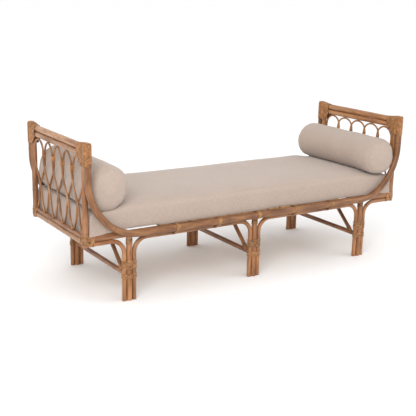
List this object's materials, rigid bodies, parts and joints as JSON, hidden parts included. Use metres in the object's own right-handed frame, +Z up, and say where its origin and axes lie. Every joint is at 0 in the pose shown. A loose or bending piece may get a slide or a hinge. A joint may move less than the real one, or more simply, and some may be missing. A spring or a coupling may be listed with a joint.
{
  "type": "daybed",
  "caption": "Rattan daybed with bent side poles, laced arch end panels, slatted deck, loose linen mattress and a bolster at each end.",
  "frame": {"origin": "centre of the footprint, on the floor under the legs", "axes": "+X along the length towards the right end, -Y towards the front side, +Z up"},
  "size_m": [1.87, 0.69, 0.76],
  "materials": {
    "rattan": "satin clear lacquer",
    "thin_rattan": "satin clear lacquer",
    "cane_binding": "semi-gloss cane peel",
    "slat_wood": "planed, unlacquered",
    "linen": "woven linen blend",
    "foam": "matte foam"
  },
  "bodies": {
    "frame": {"front_bow": "rattan", "rear_bow": "rattan", "front_seat_rail": "rattan", "rear_seat_rail": "rattan", "front_left_post": "rattan", "front_right_post": "rattan", "rear_left_post": "rattan", "rear_right_post": "rattan", "left_top_rail": "rattan", "right_top_rail": "rattan", "left_second_rail": "rattan", "right_second_rail": "rattan", "left_end_rail": "rattan", "right_end_rail": "rattan", "left_foot_rail": "rattan", "right_foot_rail": "rattan", "left_arch_rod_1": "thin_rattan", "left_arch_rod_2": "thin_rattan", "left_arch_rod_3": "thin_rattan", "left_arch_rod_4": "thin_rattan", "left_arch_rod_5": "thin_rattan", "right_arch_rod_1": "thin_rattan", "right_arch_rod_2": "thin_rattan", "right_arch_rod_3": "thin_rattan", "right_arch_rod_4": "thin_rattan", "right_arch_rod_5": "thin_rattan", "front_left_leg": "rattan", "front_middle_leg": "rattan", "front_right_leg": "rattan", "rear_left_leg": "rattan", "rear_middle_leg": "rattan", "rear_right_leg": "rattan", "front_left_bracket": "rattan", "front_right_bracket": "rattan", "rear_left_bracket": "rattan", "rear_right_bracket": "rattan", "front_left_end_bracket": "rattan", "front_right_end_bracket": "rattan", "rear_left_end_bracket": "rattan", "rear_right_end_bracket": "rattan", "left_stretcher": "rattan", "middle_stretcher": "rattan", "right_stretcher": "rattan", "left_bearer": "rattan", "middle_bearer": "rattan", "right_bearer": "rattan", "braces": "rattan", "slats": "slat_wood", "leg_bindings": "cane_binding", "side_bindings": "cane_binding", "top_corner_bindings": "cane_binding", "bottom_corner_bindings": "cane_binding", "arch_bindings": "cane_binding", "stretcher_bindings": "cane_binding"},
    "mattress": {"mattress_cover": "linen", "mattress_core": "foam"},
    "left_bolster": {"left_bolster_cover": "linen", "left_bolster_core": "foam"},
    "right_bolster": {"right_bolster_cover": "linen", "right_bolster_core": "foam"}
  },
  "joints": [
    {"name": "mattress_lift", "type": "slide", "parent": "frame", "child": "mattress", "axis": [0, 0, 1], "range_m": [0, 0.45]},
    {"name": "left_bolster_lift", "type": "slide", "parent": "mattress", "child": "left_bolster", "axis": [0, 0, 1], "range_m": [0, 0.35]},
    {"name": "right_bolster_lift", "type": "slide", "parent": "mattress", "child": "right_bolster", "axis": [0, 0, 1], "range_m": [0, 0.35]}
  ]
}
